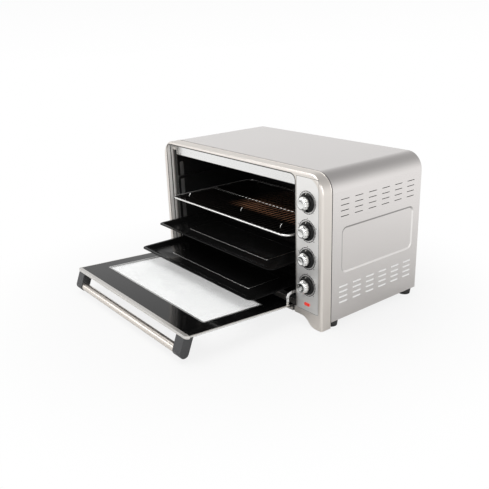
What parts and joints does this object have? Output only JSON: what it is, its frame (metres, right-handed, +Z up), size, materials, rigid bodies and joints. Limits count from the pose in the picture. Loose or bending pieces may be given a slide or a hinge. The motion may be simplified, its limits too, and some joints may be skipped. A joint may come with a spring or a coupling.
{
  "type": "electric countertop oven",
  "caption": "Countertop electric oven with a drop-down glass door, side control knobs, a wire rack and black trays in an enamelled cavity.",
  "frame": {"origin": "on the table, under the middle of the oven's length with the door open, on the body's middle plane", "axes": "+X to the right seen from the front, +Y to the back, +Z up"},
  "size_m": [0.6, 0.6228, 0.345],
  "materials": {
    "brushed_steel": "brushed",
    "satin_bezel": "satin",
    "panel_steel": "brushed",
    "plain_steel": "plain",
    "bright_sheet": "bright",
    "black_enamel": "gloss",
    "element_steel": "oxidised",
    "ceramic": "matt",
    "copper": "plain",
    "unit_plastic": "matt",
    "lamp_red": "gloss",
    "black_rubber": "matt",
    "door_glass": "clear",
    "door_black": "gloss",
    "window_grey": "satin",
    "bright_trim": "satin",
    "chrome": "polished",
    "handle_grey": "satin",
    "handle_steel": "brushed",
    "rack_wire": "bright",
    "tray_enamel": "gloss",
    "knob_black": "gloss"
  },
  "bodies": {
    "oven_body": {"casing": "brushed_steel", "front_bezel": "satin_bezel", "control_panel": "panel_steel", "base_pan": "plain_steel", "back_panel": "plain_steel", "front_flange": "bright_sheet", "cavity_left_wall": "black_enamel", "cavity_right_wall": "black_enamel", "cavity_roof": "black_enamel", "cavity_floor": "black_enamel", "cavity_back_wall": "black_enamel", "left_guides": "black_enamel", "right_guides": "black_enamel", "upper_heaters": "element_steel", "lower_heaters": "element_steel", "heater_bushes": "ceramic", "feeler": "copper", "function_switch": "unit_plastic", "upper_thermostat": "plain_steel", "lower_thermostat": "plain_steel", "timer": "plain_steel", "lamp_lens": "lamp_red", "lamp_body": "unit_plastic", "hinge_brackets": "plain_steel", "hinge_pins": "plain_steel", "inlet_bush": "black_rubber", "terminal_block": "unit_plastic", "back_screws": "plain_steel", "feet": "black_rubber"},
    "door": {"door_glass": "door_glass", "door_frame": "door_black", "window_trim": "window_grey", "window_pane": "door_glass", "edge_trim": "bright_trim", "bottom_rail": "door_black", "hinge_arm_left": "chrome", "hinge_arm_right": "chrome", "handle_bracket_left": "handle_grey", "handle_bracket_right": "handle_grey", "handle_tube": "handle_steel", "handle_screws": "door_black"},
    "rack": {"rack_frame": "rack_wire", "rack_bars": "rack_wire"},
    "upper_tray": {"upper_tray": "tray_enamel"},
    "lower_tray": {"lower_tray": "tray_enamel"},
    "knob_1": {"knob_shaft_1": "plain_steel", "knob_skirt_1": "knob_black", "knob_cap_1": "chrome"},
    "knob_2": {"knob_shaft_2": "plain_steel", "knob_skirt_2": "knob_black", "knob_cap_2": "chrome"},
    "knob_3": {"knob_shaft_3": "plain_steel", "knob_skirt_3": "knob_black", "knob_cap_3": "chrome"},
    "knob_4": {"knob_shaft_4": "plain_steel", "knob_skirt_4": "knob_black", "knob_cap_4": "chrome"}
  },
  "joints": [
    {"name": "door_hinge", "type": "hinge", "parent": "oven_body", "child": "door", "pos_m": [0, -0.0036, 0.0275], "axis": [-1, 0, 0], "range_deg": [0, 86.5]},
    {"name": "rack_slide", "type": "slide", "parent": "oven_body", "child": "rack", "axis": [0, 1, 0], "range_m": [0, 0.031]},
    {"name": "upper_tray_slide", "type": "slide", "parent": "oven_body", "child": "upper_tray", "axis": [0, 1, 0], "range_m": [0, 0.162]},
    {"name": "lower_tray_slide", "type": "slide", "parent": "oven_body", "child": "lower_tray", "axis": [0, 1, 0], "range_m": [0, 0.219]},
    {"name": "knob_1_turn", "type": "hinge", "parent": "oven_body", "child": "knob_1", "pos_m": [0.256, -0.0096, 0.283], "axis": [0, 1, 0], "range_deg": [0, 270]},
    {"name": "knob_2_turn", "type": "hinge", "parent": "oven_body", "child": "knob_2", "pos_m": [0.256, -0.0096, 0.22133], "axis": [0, 1, 0], "range_deg": [0, 290]},
    {"name": "knob_3_turn", "type": "hinge", "parent": "oven_body", "child": "knob_3", "pos_m": [0.256, -0.0096, 0.15967], "axis": [0, 1, 0], "range_deg": [0, 290]},
    {"name": "knob_4_turn", "type": "hinge", "parent": "oven_body", "child": "knob_4", "pos_m": [0.256, -0.0096, 0.098], "axis": [0, 1, 0], "range_deg": [0, 330]}
  ],
  "couplings": [
    {"joint": "rack_slide", "follows": "door_hinge", "m_per_rad": 0.02053},
    {"joint": "upper_tray_slide", "follows": "door_hinge", "m_per_rad": 0.1073},
    {"joint": "lower_tray_slide", "follows": "door_hinge", "m_per_rad": 0.14506}
  ]
}
